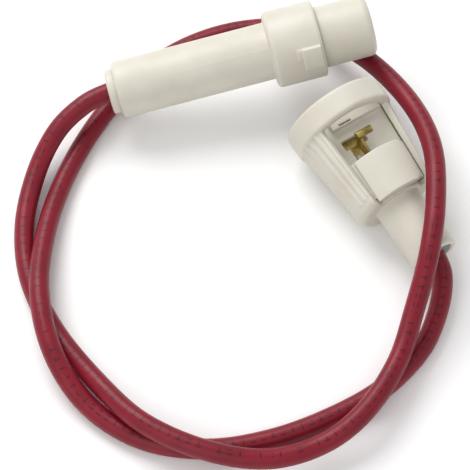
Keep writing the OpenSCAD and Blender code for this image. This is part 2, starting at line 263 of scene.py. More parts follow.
def colour(red: float, green: float, blue: float) -> tuple[float, float, float, float]:
    """A colour from display values of 0 to 255.

    Args:
        red: the display value of red.
        green: the display value of green.
        blue: the display value of blue.

    Returns:
        The linear colour, with alpha.
    """

    def linear(value: float) -> float:
        """One display value, made linear."""
        part = value / 255
        return part / 12.92 if part <= 0.04045 else ((part + 0.055) / 1.055) ** 2.4

    return (linear(red), linear(green), linear(blue), 1.0)


# --------------------------------------------------------------------------
# Finishes
# --------------------------------------------------------------------------


@dataclass(frozen=True)
class Nylon:
    """Off-white moulded nylon, slightly mottled, with a fine satin grain."""

    name: str = "moulded_nylon"
    light: tuple[float, float, float, float] = colour(206, 202, 190)
    dark: tuple[float, float, float, float] = colour(200, 195, 181)
    roughness: float = 0.46

    def make(self) -> bpy.types.Material:
        """Builds the material."""
        graph = Graph(self.name)
        cloud = graph.noise(110.0, 4.0)
        grain = graph.noise(1900.0, 3.0)
        tint = graph.mix(graph.ramp(cloud, [(0.35, 0.0), (0.65, 1.0)]), self.light, self.dark)
        graph.feed(
            Base_Color=tint,
            Roughness=graph.ramp(cloud, [(0.3, self.roughness - 0.04), (0.7, self.roughness + 0.06)]),
            IOR=1.5,
            Subsurface_Weight=0.12,
            Subsurface_Radius=(1.0, 0.8, 0.5),
            Subsurface_Scale=0.001,
        )
        graph.bump(grain, 0.000016)
        return graph.material


@dataclass(frozen=True)
class Silicone:
    """Semi-gloss red silicone, with short printed ticks and dashes along its top."""

    name: str = "red_silicone"
    base: tuple[float, float, float, float] = colour(128, 22, 40)
    deep: tuple[float, float, float, float] = colour(114, 18, 34)
    ink: tuple[float, float, float, float] = colour(62, 14, 24)
    pitch: float = 0.0024
    girth: float = 0.0157
    top: float = 0.26

    def ticks(self, graph: Graph) -> Socket:
        """The mask of the printed marks, from the lead's own UV map.

        Args:
            graph: the material's graph.

        Returns:
            1 on a mark and 0 elsewhere.
        """
        place = graph.node("ShaderNodeUVMap", {"uv_map": "along"})
        parts = graph.node("ShaderNodeSeparateXYZ", sockets={0: place})
        turns = Socket(graph, parts.link.node.outputs[1])
        cell = parts / self.pitch
        across = (turns - self.top) * (self.girth / self.pitch)
        chance = graph.node("ShaderNodeTexWhiteNoise", {"noise_dimensions": "1D"}, {"W": cell.floor()})
        within = (cell.fraction() - 0.5).absolute()
        tick = (within < 0.09) * (across.absolute() < 0.3)
        dash = (within < 0.27) * ((across - 0.2).absolute() < 0.08)
        foot = (within < 0.27) * ((across + 0.22).absolute() < 0.08)
        marks = tick * (chance < 0.62) + dash * (chance > 0.38) + foot * (chance > 0.7)
        worn = graph.noise(420.0, 2.0) > 0.36
        return (marks > 0.5) * worn * (chance > 0.08)

    def make(self) -> bpy.types.Material:
        """Builds the material."""
        graph = Graph(self.name)
        cloud = graph.noise(150.0, 3.0)
        tint = graph.mix(graph.ramp(cloud, [(0.35, 0.0), (0.65, 1.0)]), self.base, self.deep)
        marked = graph.mix(self.ticks(graph) * 0.75, tint, self.ink)
        graph.feed(
            Base_Color=marked,
            Roughness=graph.ramp(cloud, [(0.3, 0.36), (0.7, 0.46)]),
            IOR=1.42,
            Specular_IOR_Level=0.32,
            Coat_Roughness=0.35,
            Coat_Weight=0.08,
        )
        graph.bump(graph.noise(700.0, 3.0), 0.00003)
        return graph.material


@dataclass(frozen=True)
class Metal:
    """Bare sheet metal with a fine grain and a little tarnish."""

    name: str
    base: tuple[float, float, float, float]
    stain: tuple[float, float, float, float]
    roughness: float = 0.3

    def make(self) -> bpy.types.Material:
        """Builds the material."""
        graph = Graph(self.name)
        cloud = graph.noise(500.0, 4.0)
        tint = graph.mix(graph.ramp(cloud, [(0.4, 0.0), (0.7, 1.0)]), self.base, self.stain)
        graph.feed(
            Base_Color=tint,
            Metallic=1.0,
            Roughness=graph.ramp(cloud, [(0.3, self.roughness - 0.06), (0.7, self.roughness + 0.1)]),
        )
        graph.bump(graph.noise(4000.0, 2.0), 0.000006)
        return graph.material


@dataclass(frozen=True)
class Plain:
    """A dull non-metal, such as rubber or glazed ceramic."""

    name: str
    base: tuple[float, float, float, float]
    dark: tuple[float, float, float, float]
    roughness: float

    def make(self) -> bpy.types.Material:
        """Builds the material."""
        graph = Graph(self.name)
        cloud = graph.noise(300.0, 4.0)
        graph.feed(
            Base_Color=graph.mix(cloud, self.base, self.dark),
            Roughness=graph.ramp(cloud, [(0.3, self.roughness - 0.05), (0.7, self.roughness + 0.05)]),
        )
        graph.bump(graph.noise(1800.0, 3.0), 0.00001)
        return graph.material


class Finish(Enum):
    """The finishes of the object's pieces."""

    NYLON = Nylon()
    SILICONE = Silicone()
    BRASS = Metal("stamped_brass", colour(190, 170, 108), colour(146, 124, 70), 0.3)
    STEEL = Metal("plated_steel", colour(198, 198, 200), colour(160, 160, 164), 0.28)
    CONDUCTOR = Metal("tinned_strands", colour(206, 196, 186), colour(170, 150, 130), 0.35)
    CERAMIC = Plain("glazed_ceramic", colour(240, 238, 230), colour(228, 224, 214), 0.2)
    RUBBER = Plain("grey_rubber", colour(128, 128, 126), colour(104, 104, 104), 0.6)


class Paint:
    """Makes each finish once and gives it to pieces."""

    def __init__(self) -> None:
        """Starts with no materials."""
        self.made: dict[Finish, bpy.types.Material] = {}

    def material(self, finish: Finish) -> bpy.types.Material:
        """The material of a finish."""
        if finish not in self.made:
            self.made[finish] = finish.value.make()
        return self.made[finish]

    def dress(self, piece: bpy.types.Object, finish: Finish) -> None:
        """Gives a piece one finish all over."""
        piece.data.materials.clear()
        piece.data.materials.append(self.material(finish))

    def clad(self, piece: bpy.types.Object, finish: Finish, body: str, node: str, slot: str) -> None:
        """Dresses a new piece and says what it rides on and stands for.

        Args:
            piece: the new piece.
            finish: its finish.
            body: the body that it moves with.
            node: the CAD node that it stands for.
            slot: the record's slot of that finish; not used.
        """
        self.dress(piece, finish)
        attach(piece, body)
        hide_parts(node)
        LOG.info("%s: %d faces, for %s", piece.name, len(piece.data.polygons), node)


# --------------------------------------------------------------------------
# Places and shapes
# --------------------------------------------------------------------------


@dataclass(frozen=True)
class Placement:
    """Where a fitting lies: its end, and the way its axis points."""

    at: tuple[float, float, float]
    climb: float
    azimuth: float

    def matrix(self) -> Matrix:
        """Turns the fitting's frame, z along its axis and x upwards, into the row frame."""
        lean = Matrix.Rotation(math.radians(90 - self.climb), 4, "Y")
        turn = Matrix.Rotation(math.radians(self.azimuth), 4, "Z")
        roll = Matrix.Rotation(math.pi, 4, "Z")
        return Matrix.Translation(self.at) @ turn @ lean @ roll

    def along(self, station: float) -> Vector:
        """The point on the axis at a distance in metres from the fitting's end."""
        return self.matrix() @ Vector((0.0, 0.0, station))


HOLDER = Placement((-0.0425, 0.0133, 0.0116), 7.0, 12.9)
RIM_REST = 5.7 * MM
RIM_RADIUS = 0.0135
BODY_REST = 27.7
PLUG_DROP = 2.8
PLUG_PITCH = math.atan(PLUG_DROP / (BODY_REST - 5.7))
PLUG = Placement(
    (0.0137, 0.0064, RIM_REST * math.sin(PLUG_PITCH) + RIM_RADIUS * math.cos(PLUG_PITCH)),
    -math.degrees(PLUG_PITCH),
    -57.4,
)

Point = tuple[float, float]
Relief = Callable[[float, float, float], float]


def arc(across: float, along: float, radius: float, start: float, end: float, steps: int = 6) -> list[Point]:
    """Points of an arc in an outline.

    Args:
        across: the centre's distance from the axis.
        along: the centre's station.
        radius: the arc's radius.
        start: the first angle in degrees, with 0 straight out.
        end: the last angle.
        steps: how many chords it has.

    Returns:
        The points, in millimetres.
    """
    turns = [math.radians(start + (end - start) * k / steps) for k in range(steps + 1)]
    return [(across + radius * math.cos(t), along + radius * math.sin(t)) for t in turns]


def run(radius: float, start: float, end: float, step: float) -> list[Point]:
    """Evenly spaced points of a straight wall.

    Args:
        radius: the wall's radius.
        start: its first station.
        end: its last station.
        step: the greatest spacing.

    Returns:
        The points between the two ends, without them.
    """
    count = max(1, math.ceil(abs(end - start) / step))
    return [(radius, start + (end - start) * k / count) for k in range(1, count)]


def ease(value: float) -> float:
    """A smooth step from 0 at 0 to 1 at 1."""
    part = min(max(value, 0.0), 1.0)
    return part * part * (3 - 2 * part)


class Workshop:
    """Makes and finishes meshes in a fitting's own frame."""

    @staticmethod
    def link(name: str, mesh: bpy.types.Mesh) -> bpy.types.Object:
        """Puts a mesh in the scene as an object at the origin."""
        piece = bpy.data.objects.new(name, mesh)
        bpy.context.scene.collection.objects.link(piece)
        return piece

    @staticmethod
    def turned(
        name: str, outline: list[Point], place: Placement, sides: int = 180, relief: Relief | None = None
    ) -> bpy.types.Object:
        """Turns a closed outline round a fitting's axis.

        Args:
            name: the piece's name.
            outline: points of radius and station in millimetres, once round.
            place: where the fitting lies.
            sides: how many faces go round.
            relief: extra radius for an angle in degrees, a station and a radius.

        Returns:
            The piece.
        """
        shape = bmesh.new()
        matrix = place.matrix()
        rings = []
        for radius, station in outline:
            ring = []
            for k in range(sides):
                angle = 360 * k / sides
                out = radius + (relief(angle, station, radius) if relief else 0.0)
                turn = math.radians(angle)
                spot = Vector((out * math.cos(turn), out * math.sin(turn), station)) * MM
                ring.append(shape.verts.new(matrix @ spot))
            rings.append(ring)
        for ring, after in zip(rings, rings[1:] + rings[:1]):
            for k in range(sides):
                n = (k + 1) % sides
                shape.faces.new((ring[k], ring[n], after[n], after[k]))
        return Workshop.finished(name, shape)

    @staticmethod
    def sector(
        name: str, radii: Point, stations: Point, angles: Point, place: Placement, steps: int = 24
    ) -> bpy.types.Object:
        """Makes a closed piece of a ring, for cutting.

        Args:
            name: the piece's name.
            radii: its inner and outer radius in millimetres.
            stations: its first and last station.
            angles: its first and last angle in degrees.
            place: where the fitting lies.
            steps: how many slices it has.

        Returns:
            The piece.
        """
        shape = bmesh.new()
        matrix = place.matrix()
        inner, outer = radii
        first, last = stations
        corners = [(inner, first), (outer, first), (outer, last), (inner, last)]
        slices = []
        for k in range(steps + 1):
            turn = math.radians(angles[0] + (angles[1] - angles[0]) * k / steps)
            slices.append(
                [
                    shape.verts.new(matrix @ (Vector((r * math.cos(turn), r * math.sin(turn), z)) * MM))
                    for r, z in corners
                ]
            )
        for one, two in zip(slices, slices[1:]):
            for k in range(4):
                n = (k + 1) % 4
                shape.faces.new((one[k], one[n], two[n], two[k]))
        shape.faces.new(slices[0])
        shape.faces.new(list(reversed(slices[-1])))
        return Workshop.finished(name, shape)

    @staticmethod
    def finished(name: str, shape: bmesh.types.BMesh, crease: float = 32.0) -> bpy.types.Object:
        """Turns a shape's faces outwards, smooths it and puts it in the scene."""
        bmesh.ops.recalc_face_normals(shape, faces=shape.faces)
        mesh = bpy.data.meshes.new(name)
        shape.to_mesh(mesh)
        shape.free()
        Workshop.smooth(mesh, crease)
        return Workshop.link(name, mesh)

    @staticmethod
    def smooth(mesh: bpy.types.Mesh, crease: float = 32.0) -> None:
        """Shades a mesh smooth, with creases sharper than an angle kept."""
        mesh.polygons.foreach_set("use_smooth", [True] * len(mesh.polygons))
        mesh.set_sharp_from_angle(angle=math.radians(crease))

    @staticmethod
    def baked(piece: bpy.types.Object, crease: float = 32.0) -> bpy.types.Object:
        """Replaces a piece by a plain mesh of what its modifiers make."""
        graph = bpy.context.evaluated_depsgraph_get()
        mesh = bpy.data.meshes.new_from_object(piece.evaluated_get(graph))
        piece.modifiers.clear()
        old = piece.data
        piece.data = mesh
        mesh.name = piece.name
        bpy.data.meshes.remove(old)
        Workshop.smooth(mesh, crease)
        return piece

    @staticmethod
    def carved(piece: bpy.types.Object, cutters: list[bpy.types.Object]) -> bpy.types.Object:
        """Cuts other pieces out of a piece and discards them."""
        for cutter in cutters:
            cut = piece.modifiers.new("cut", "BOOLEAN")
            cut.operation = "DIFFERENCE"
            cut.solver = "MANIFOLD"
            cut.object = cutter
        Workshop.baked(piece)
        for cutter in cutters:
            bpy.data.objects.remove(cutter)
        return piece

    @staticmethod
    def copied(name: str, node: bpy.types.Object) -> bpy.types.Object:
        """A merged copy of a CAD node's mesh, as a new piece."""
        shape = bmesh.new()
        shape.from_mesh(node.data)
        bmesh.ops.remove_doubles(shape, verts=shape.verts, dist=1e-7)
        mesh = bpy.data.meshes.new(name)
        shape.to_mesh(mesh)
        shape.free()
        return Workshop.link(name, mesh)

    @staticmethod
    def softened(piece: bpy.types.Object, voxel: float, passes: int, keep: float) -> bpy.types.Object:
        """Joins a piece's shells into one skin and softens its edges, as a mould does.

        Args:
            piece: the piece.
            voxel: the skin's grain in millimetres.
            passes: how many times it is smoothed.
            keep: the share of its faces that is kept.

        Returns:
            The same piece.
        """
        skin = piece.modifiers.new("skin", "REMESH")
        skin.mode = "VOXEL"
        skin.voxel_size = voxel * MM
        skin.adaptivity = 0.0
        soft = piece.modifiers.new("soft", "SMOOTH")
        soft.factor = 0.5
        soft.iterations = passes
        thin = piece.modifiers.new("thin", "DECIMATE")
        thin.ratio = keep
        Workshop.baked(piece, 60.0)
        return piece


class RibTree:
    """Geometry Nodes that set tapered ribs round an axis."""

    SIDES = 16
    INPUTS = (
        ("Count", "NodeSocketInt"),
        ("First Angle", "NodeSocketFloat"),
        ("Step Angle", "NodeSocketFloat"),
        ("Radius", "NodeSocketFloat"),
        ("Start", "NodeSocketFloat"),
        ("Length", "NodeSocketFloat"),
        ("Draft", "NodeSocketFloat"),
        ("Half Width", "NodeSocketFloat"),
        ("End Half Width", "NodeSocketFloat"),
        ("Flatness", "NodeSocketFloat"),
        ("Material", "NodeSocketMaterial"),
    )

    def __init__(self) -> None:
        """Builds the tree."""
        self.tree = bpy.data.node_groups.new("grip_ribs", "GeometryNodeTree")
        face = self.tree.interface
        face.new_socket(name="Geometry", in_out="OUTPUT", socket_type="NodeSocketGeometry")
        self.keys = {
            name: face.new_socket(name=name, in_out="INPUT", socket_type=kind).identifier
            for name, kind in self.INPUTS
        }
        self._wire()

    def _node(
        self, kind: str, settings: dict[str, object], sockets: dict[str | int, object]
    ) -> bpy.types.Node:
        """Adds a node, with its settings first and then its values and links."""
        made = self.tree.nodes.new(kind)
        for key, value in settings.items():
            setattr(made, key, value)
        for key, value in sockets.items():
            if isinstance(value, bpy.types.NodeSocket):
                self.tree.links.new(value, made.inputs[key])
            else:
                made.inputs[key].default_value = value
        return made

    def _wire(self) -> None:
        """Joins the nodes up."""
        given = self.tree.nodes.new("NodeGroupInput").outputs
        rod = self._node(
            "GeometryNodeMeshCone",
            {"fill_type": "TRIANGLE_FAN"},
            {
                "Vertices": self.SIDES,
                "Radius Bottom": given["Half Width"],
                "Radius Top": given["End Half Width"],
                "Depth": given["Length"],
            },
        )
        lean = self._node("ShaderNodeCombineXYZ", {}, {"Y": given["Draft"]})
        spot = self._node("ShaderNodeCombineXYZ", {}, {"X": given["Radius"], "Z": given["Start"]})
        flat = self._node("ShaderNodeCombineXYZ", {}, {"X": given["Flatness"], "Y": 1.0, "Z": 1.0})
        rib = self._node(
            "GeometryNodeTransform",
            {},
            {
                "Geometry": rod.outputs["Mesh"],
                "Translation": spot.outputs[0],
                "Rotation": lean.outputs[0],
                "Scale": flat.outputs[0],
            },
        )
        points = self._node("GeometryNodePoints", {}, {"Count": given["Count"]})
        index = self.tree.nodes.new("GeometryNodeInputIndex")
        step = self._node(
            "ShaderNodeMath",
            {"operation": "MULTIPLY_ADD"},
            {0: index.outputs[0], 1: given["Step Angle"], 2: given["First Angle"]},
        )
        turn = self._node("ShaderNodeCombineXYZ", {}, {"Z": step.outputs[0]})
        ring = self._node(
            "GeometryNodeInstanceOnPoints",
            {},
            {"Points": points.outputs[0], "Instance": rib.outputs[0], "Rotation": turn.outputs[0]},
        )
        real = self._node("GeometryNodeRealizeInstances", {}, {0: ring.outputs[0]})
        clad = self._node(
            "GeometryNodeSetMaterial",
            {},
            {"Geometry": real.outputs[0], "Material": given["Material"]},
        )
        out = self.tree.nodes.new("NodeGroupOutput")
        self.tree.links.new(clad.outputs[0], out.inputs[0])

    def ribs(self, name: str, values: dict[str, object], place: Placement) -> bpy.types.Object:
        """Makes one set of ribs as a plain mesh.

        Args:
            name: the set's name.
            values: a value for each input of the tree.
            place: where the fitting lies.

        Returns:
            The set, in the row frame.
        """
        piece = Workshop.link(name, bpy.data.meshes.new(name))
        grow = piece.modifiers.new("ribs", "NODES")
        grow.node_group = self.tree
        for key, value in values.items():
            grow[self.keys[key]] = value
        Workshop.baked(piece)
        piece.data.transform(place.matrix())
        return piece


@dataclass
class Lead:
    """The silicone lead, one tube from the holder's bush to the plug's tail."""

    diameter: float = 5 * MM
    length: float = 0.58
    sides: int = 28
    steps: int = 7
    holder_stations: tuple[float, ...] = (9.5, 4.75, -0.5)
    plug_stations: tuple[float, ...] = (46.5, 40.0, 34.0)
    loose: tuple[tuple[float, float, float], ...] = (
        (-49, 10, 10.7), (-55.5, 4, 8.2), (-60.5, -6, 4.8), (-63, -20.5, 3), (-61, -35.5, 2.6),
        (-54, -50, 2.8), (-43, -64.5, 4.4), (-32, -76, 7.4), (-17.5, -83, 7.9), (-3, -84.5, 6.2),
        (10, -80.5, 5.8), (20, -73, 7.8), (28, -60.5, 8.4), (32.5, -47.5, 11.4), (36, -35.5, 16.8),
        (38, -22, 18.8), (38, -7, 17.8), (34, 7.5, 14.4), (25.5, 22, 10.4), (15.5, 32, 7),
        (3, 38.5, 3.6), (-11.5, 38, 2.7), (-25.5, 32, 2.6), (-38.5, 20.5, 2.8), (-47.5, 7, 2.6),
        (-54, -8, 2.8), (-57.5, -24, 4.8), (-58, -41.5, 7.6), (-54, -57.5, 6.8), (-45.5, -69.5, 3),
        (-32.5, -78, 2.6), (-17, -80.5, 2.6), (-2, -78, 2.6), (12, -72.5, 2.6), (24.5, -65, 2.6),
        (34, -55, 2.8), (38.5, -45.5, 4), (40, -37.5, 6.4),
    )
    path: list[Vector] = field(default_factory=list)

    def route(self) -> list[Vector]:
        """The stations of the whole lead, in metres."""
        return (
            [HOLDER.along(s * MM) for s in self.holder_stations]
            + [Vector(p) * MM for p in self.loose]
            + [PLUG.along(s * MM) for s in self.plug_stations]
        )

    def smooth(self) -> list[Vector]:
        """A smooth curve through the stations."""
        stations = self.route()
        last = len(stations) - 1
        points = []
        for step in range(last * self.steps + 1):
            i = min(step // self.steps, last - 1)
            t = step / self.steps - i
            a, b = stations[max(i - 1, 0)], stations[i]
            c, d = stations[i + 1], stations[min(i + 2, last)]
            points.append(
                0.5
                * (
                    2 * b
                    + (c - a) * t
                    + (2 * a - 5 * b + 4 * c - d) * t * t
                    + (3 * b - 3 * c + d - a) * t * t * t
                )
            )
        return points

    def build(self) -> bpy.types.Object:
        """Builds the tube, with its own UV map: metres along it, and turns round it."""
        self.path = self.smooth()
        mesh = bpy.data.meshes.new("lead")
        shape = bmesh.new()
        layer = shape.loops.layers.uv.new("along")
        rings, marks, travelled = [], [], 0.0
        count = len(self.path)
        for k, point in enumerate(self.path):
            ahead = (self.path[min(k + 1, count - 1)] - self.path[max(k - 1, 0)]).normalized()
            side = Vector((0, 0, 1)).cross(ahead).normalized()
            over = ahead.cross(side)
            if k:
                travelled += (point - self.path[k - 1]).length
            marks.append(travelled)
            turns = [2 * math.pi * j / self.sides for j in range(self.sides)]
            rings.append(
                [
                    shape.verts.new(point + self.diameter / 2 * (math.cos(a) * side + math.sin(a) * over))
                    for a in turns
                ]
            )
        for k in range(count - 1):
            for j in range(self.sides):
                n = (j + 1) % self.sides
                face = shape.faces.new((rings[k][j], rings[k][n], rings[k + 1][n], rings[k + 1][j]))
                face.smooth = True
                here, there = marks[k], marks[k + 1]
                places = ((here, j), (here, j + 1), (there, j + 1), (there, j))
                for loop, (u, v) in zip(face.loops, places):
                    loop[layer].uv = (u, v / self.sides)
        shape.faces.new(rings[0])
        shape.faces.new(list(reversed(rings[-1])))
        bmesh.ops.recalc_face_normals(shape, faces=shape.faces)
        shape.to_mesh(mesh)
        shape.free()
        return Workshop.link("lead", mesh)

    def declare(self, piece: bpy.types.Object, paint: Paint) -> None:
        """Dresses the lead and says what it is."""
        measured = sum((b - a).length for a, b in zip(self.path, self.path[1:]))
        paint.dress(piece, Finish.SILICONE)
        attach(piece, "lead_and_shells")
        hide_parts("lead_wire")
        LOG.info("lead: %.1f mm along its centreline", measured / MM)


@dataclass
class Holder:
    """The inline twist-lock holder: grip tube with collar, bush and nose cap. Sizes in millimetres."""

    tube_from: float = 2.0
    tube_radius: float = 7.3
    collar_from: float = 42.0
    collar_to: float = 55.0
    collar_radius: float = 9.8
    cap_from: float = 55.06
    cap_to: float = 68.5
    cap_radius: float = 7.8
    sleeve_from: float = 46.0
    sleeve_radius: float = 6.7
    lug_stations: Point = (47.5, 49.5)
    lug_angles: Point = (48.0, 72.0)
    lug_height: float = 1.2
    lug_room: float = 0.3
    turn: float = 60.0
    lift: float = 2.4
    seams: tuple[float, ...] = (29.0, 88.0)
    seam_height: float = 0.05
    boss_span: Point = (43.0, 77.0)
    boss_stations: Point = (49.5, 54.4)
    boss_height: float = 0.8
    step_span: Point = (43.0, 60.0)
    step_stations: Point = (48.2, 49.8)
    step_height: float = 0.3
    rear_edge: float = 1.2
    fillet: float = 0.5
    collar_rear_edge: float = 1.3
    collar_front_edge: float = 0.8
    pocket: Point = (4.75, 10.0)
    ferrule: Point = (2.15, 12.5)
    chamber_radius: float = 5.3
    sleeve_bore: float = 6.8
    track_slices: int = 4
    bush_bore: float = 2.7
    bush_radius: float = 5.7
    bush_edge: float = 0.7
    bush_face: float = 1.98
    bush_sleeve: Point = (4.7, 8.0)
    groove: Point = (52.55, 53.95)
    groove_depth: float = 0.8
    cap_rear_edge: float = 0.25
    nose_edge: float = 1.8
    recess: Point = (4.7, 60.0)
    contact_bore: Point = (3.05, 51.0)
    spring_bore: float = 5.1

    def pad(self, angle: float, station: float, span: Point, length: Point, soft: float = 0.5) -> float:
        """How far a soft-edged pad on the collar has risen, from 0 to 1.

        Args:
            angle: the place round the collar, in degrees.
            station: the place along it.
            span: the pad's first and last angle.
            length: its first and last station.
            soft: the width of its sloping edge.

        Returns:
            The part of its full height.
        """
        per_degree = self.collar_radius * math.pi / 180
        sides = (
            (angle - span[0]) * per_degree,
            (span[1] - angle) * per_degree,
            station - length[0],
            length[1] - station,
        )
        rise = 1.0
        for side in sides:
            rise *= ease(side / soft + 0.5)
        return rise

    def body_relief(self, angle: float, station: float, radius: float) -> float:
        """The seams of the grip tube and the boss of the collar."""
        extra = 0.0
        if radius > self.tube_radius - 0.01 and self.tube_from + 2 < station < self.collar_from - 0.2:
            for seam in self.seams:
                fade = ease((station - 8) / 14) if seam < 60 else 1.0
                extra += self.seam_height * fade * max(0.0, 1 - abs(angle - seam) / 2.0)
        if radius > self.collar_radius - 0.01 and station > 46:
            boss = self.pad(angle, station, self.boss_span, self.boss_stations)
            step = self.pad(angle, station, self.step_span, self.step_stations)
            extra += self.boss_height * boss
            extra += self.step_height * step * (1 - boss)
        return extra

    def body(self) -> bpy.types.Object:
        """Builds the grip tube and collar as one moulding, with its bayonet tracks."""
        tube, collar = self.tube_radius, self.collar_radius
        rear, fillet = self.rear_edge, self.fillet
        back, front = self.collar_rear_edge, self.collar_front_edge
        bore, chamber = self.sleeve_bore, self.chamber_radius
        pocket, pocket_to = self.pocket
        ferrule, ferrule_to = self.ferrule
        fine_from = self.lug_stations[0]
        outline = (
            [(pocket, self.tube_from)]
            + arc(tube - rear, self.tube_from + rear, rear, -90, 0, 8)
            + run(tube, self.tube_from + rear, self.collar_from - fillet, 0.8)
            + arc(tube + fillet, self.collar_from - fillet, fillet, 180, 90, 5)
            + arc(collar - back, self.collar_from + back, back, -90, 0, 8)
            + run(collar, self.collar_from + back, fine_from, 0.6)
            + run(collar, fine_from, self.collar_to - front, 0.16)
            + arc(collar - front, self.collar_to - front, front, 0, 90, 6)
            + [(7.0, self.collar_to), (bore, self.collar_to - 0.2)]
            + run(bore, self.collar_to - 0.2, self.sleeve_from, 1.5)
            + [(bore, self.sleeve_from), (chamber, self.sleeve_from)]
            + [(chamber, ferrule_to), (ferrule, ferrule_to), (ferrule, pocket_to), (pocket, pocket_to)]
        )
        piece = Workshop.turned("grip_body", outline, HOLDER, 240, self.body_relief)
        reach = self.sleeve_radius + self.lug_height + self.lug_room
        play = math.degrees(self.lug_room / reach)
        first, last = self.lug_stations[0] - self.lug_room, self.lug_stations[1] + self.lug_room
        cutters = []
        count = self.track_slices
        for side in (0.0, 180.0):
            low, high = self.lug_angles[0] + side - play, self.lug_angles[1] + side + play
            for k in range(count):
                cutters.append(
                    Workshop.sector(
                        "track",
                        (6.2 - 0.03 * k, reach + 0.03 * k),
                        (first + self.lift * k / count, last + self.lift * (k + 1) / count),
                        (low + self.turn * k / count, high + self.turn * (k + 1) / count),
                        HOLDER,
                    )
                )
            cutters.append(
                Workshop.sector(
                    "track_entry",
                    (6.0, reach + 0.15),
                    (first + self.lift, 57.0),
                    (low + self.turn - 0.6, high + self.turn + 0.6),
                    HOLDER,
                )
            )
        return Workshop.carved(piece, cutters)

    def bush(self) -> bpy.types.Object:
        """Builds the bush that the lead goes through."""
        bore, flange, edge = self.bush_bore, self.bush_radius, self.bush_edge
        sleeve, sleeve_to = self.bush_sleeve
        outline = (
            [(2.85, 0.0)]
            + arc(flange - edge, edge, edge, -90, 0, 6)
            + arc(flange - 0.1, 1.88, 0.1, 0, 90, 2)
            + [(sleeve, self.bush_face)]
            + arc(sleeve - 0.3, sleeve_to - 0.3, 0.3, 0, 90, 3)
            + [(bore, sleeve_to), (bore, 0.15)]
        )
        return Workshop.turned("lead_bush", outline, HOLDER, 120)

    def cap_relief(self, angle: float, station: float, radius: float) -> float:
        """The two bayonet lugs on the sleeve."""
        low, high = self.lug_stations
        if abs(radius - self.sleeve_radius) > 0.01 or not low < station < high:
            return 0.0
        within = (angle % 180) - self.lug_angles[0]
        return self.lug_height if 0 <= within <= self.lug_angles[1] - self.lug_angles[0] else 0.0

    def cap(self) -> bpy.types.Object:
        """Builds the nose cap with its sleeve and lugs."""
        nose, sleeve = self.cap_radius, self.sleeve_radius
        low, high = self.lug_stations
        back, edge, jump = self.cap_rear_edge, self.nose_edge, 0.001
        lug_ends = (low - jump, low + jump, (low + high) / 2, high - jump, high + jump)
        groove_from, groove_to = self.groove
        groove = sleeve - self.groove_depth
        recess, recess_from = self.recess
        bore, bore_from = self.contact_bore
        outline = (
            [(self.spring_bore, self.sleeve_from)]
            + arc(sleeve - 0.4, self.sleeve_from + 0.4, 0.4, -90, 0, 3)
            + [(sleeve, station) for station in lug_ends]
            + [(sleeve, groove_from), (groove, groove_from), (groove, groove_to), (sleeve, groove_to)]
            + [(sleeve, self.cap_from)]
            + arc(nose - back, self.cap_from + back, back, -90, 0, 4)
            + run(nose, self.cap_from + back, self.cap_to - edge, 1.0)
            + arc(nose - edge, self.cap_to - edge, edge, 0, 90, 10)
            + arc(recess + 0.3, self.cap_to - 0.3, 0.3, 90, 180, 3)
            + [(recess, recess_from), (bore, recess_from), (bore, bore_from), (self.spring_bore, bore_from)]
        )
        return Workshop.turned("twist_cap", outline, HOLDER, 240, self.cap_relief)

    def build(self, paint: Paint) -> None:
        """Builds and dresses the holder's mouldings."""
        for piece, body, node in (
            (self.body(), "lead_and_shells", "holder_body"),
            (self.bush(), "lead_and_shells", "cable_bush"),
            (self.cap(), "cap", "nose_cap"),
        ):
            paint.clad(piece, Finish.NYLON, body, node, "nylon")


